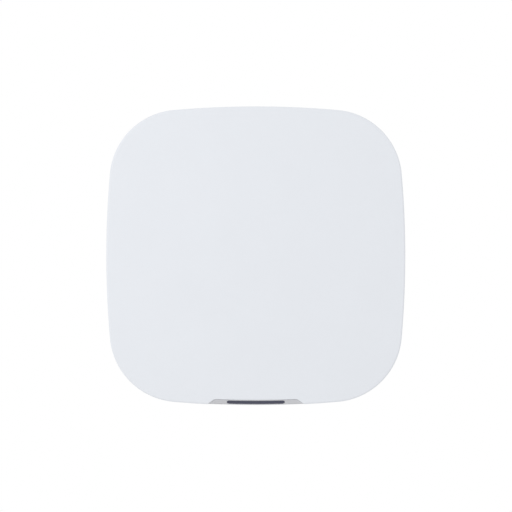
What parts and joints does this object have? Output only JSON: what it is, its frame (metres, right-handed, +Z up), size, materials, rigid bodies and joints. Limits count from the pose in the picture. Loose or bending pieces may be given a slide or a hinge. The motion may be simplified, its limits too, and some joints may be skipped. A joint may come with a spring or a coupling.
{
  "type": "alarm control panel",
  "caption": "Square, round-cornered wall-mounted alarm control panel with a status light in the bottom edge, a connector bay behind and a slide-on wall bracket.",
  "frame": {"origin": "middle of the wall bracket's back face, on the wall's surface", "axes": "+X to the right as seen from the room, +Y into the wall, +Z up; the panel's front faces -Y"},
  "size_m": [0.163, 0.037, 0.1629],
  "materials": {
    "cover_plastic": "cool white moulded plastic with a fine matte grain",
    "housing_plastic": "cool white moulded plastic with a fine matte grain",
    "bracket_plastic": "cool white moulded plastic, matte, a shade greyer",
    "bezel_plastic": "light grey satin plastic",
    "lens_plastic": "smoked lens, dark blue-grey when the light is off",
    "guide_plastic": "clear moulded plastic",
    "board_laminate": "green solder mask",
    "board_black": "black laminate",
    "screw_steel": "zinc-plated steel",
    "plated_brass": "gold-plated or bare brass",
    "nickel_contact": "nickel-plated spring contact",
    "connector_black": "black moulded connector housing",
    "connector_cream": "cream moulded connector housing",
    "chip_black": "black chip package",
    "shield_metal": "tinned sheet can",
    "button_plastic": "dark grey moulded plastic",
    "ferrite": "dark grey sintered ferrite",
    "coil_tape": "yellow winding tape",
    "capacitor_sleeve": "dark shrink sleeve over an aluminium can",
    "cell_sleeve": "blue shrink sleeve over a metal can",
    "tray_plastic": "black moulded plastic",
    "lead_red": "red insulation",
    "lead_black": "black insulation",
    "ribbon_white": "white flat flexible cable",
    "led_package": "white moulded package",
    "spring_steel": "bright spring wire"
  },
  "bodies": {
    "bracket": {"mounting_bracket": "bracket_plastic"},
    "hub": {"rear_housing": "housing_plastic", "front_cover": "cover_plastic", "connector_bay": "housing_plastic", "bay_screws": "screw_steel", "case_screws": "screw_steel", "indicator_bezel": "bezel_plastic", "indicator_lens": "lens_plastic", "light_guide": "guide_plastic", "indicator_board": "board_laminate", "indicator_leds": "led_package", "bezel_screws": "screw_steel", "indicator_ribbon": "ribbon_white", "ribbon_sockets": "connector_cream", "main_board": "board_laminate", "power_board": "board_laminate", "board_screws": "screw_steel", "board_link": "ribbon_white", "link_sockets": "connector_cream", "shield_cans": "shield_metal", "cellular_module": "shield_metal", "board_chips": "chip_black", "ethernet_jack": "connector_black", "jack_contacts": "plated_brass", "sim_socket": "connector_black", "power_switch": "connector_black", "reset_switch": "connector_black", "power_inlet": "connector_black", "inlet_pins": "nickel_contact", "transformer_core": "ferrite", "transformer_coil": "coil_tape", "capacitors": "capacitor_sleeve", "battery_cells": "cell_sleeve", "battery_tray": "tray_plastic", "battery_retainer": "tray_plastic", "retainer_screws": "screw_steel", "battery_contacts": "nickel_contact", "battery_lead_red": "lead_red", "battery_lead_black": "lead_black", "battery_plug": "connector_cream", "aerial_boards": "board_black", "aerial_leads": "lead_black", "aerial_sockets": "plated_brass", "tamper_switch": "connector_black", "tamper_spring": "spring_steel", "sounder": "connector_black", "cable_clamps": "housing_plastic", "clamp_screws": "screw_steel", "locking_insert": "plated_brass"},
    "tamper_plunger": {"tamper_plunger": "button_plastic"},
    "power_button": {"power_button": "button_plastic"},
    "reset_button": {"reset_button": "button_plastic"},
    "locking_washer": {"locking_washer": "screw_steel"},
    "locking_screw": {"locking_screw": "screw_steel"}
  },
  "joints": [
    {"name": "hub_release", "type": "slide", "parent": "bracket", "child": "hub", "axis": [0, 0, 1], "range_m": [0, 0.007]},
    {"name": "tamper_follow", "type": "slide", "parent": "hub", "child": "tamper_plunger", "axis": [0, 1, 0], "range_m": [0, 0.0016], "deforming": ["tamper_spring"]},
    {"name": "power_button_press", "type": "slide", "parent": "hub", "child": "power_button", "axis": [0, 0, 1], "range_m": [0, 0.0006], "stiffness_N_per_m": 1500, "springref_m": -0.0003},
    {"name": "reset_button_press", "type": "slide", "parent": "hub", "child": "reset_button", "axis": [0, 0, 1], "range_m": [0, 0.0005], "stiffness_N_per_m": 1500, "springref_m": -0.0003},
    {"name": "locking_screw_travel", "type": "slide", "parent": "bracket", "child": "locking_washer", "axis": [0, 0, -1], "range_m": [0, 0.0075]},
    {"name": "locking_screw_turn", "type": "hinge", "parent": "locking_washer", "child": "locking_screw", "pos_m": [0, -0.009, -0.0655], "axis": [0, 0, -1], "range_deg": [0, 5400]}
  ],
  "couplings": [
    {"joint": "tamper_follow", "follows": "hub_release", "ratio": 0.22857},
    {"joint": "locking_screw_turn", "follows": "locking_screw_travel", "rad_per_m": 12566}
  ]
}
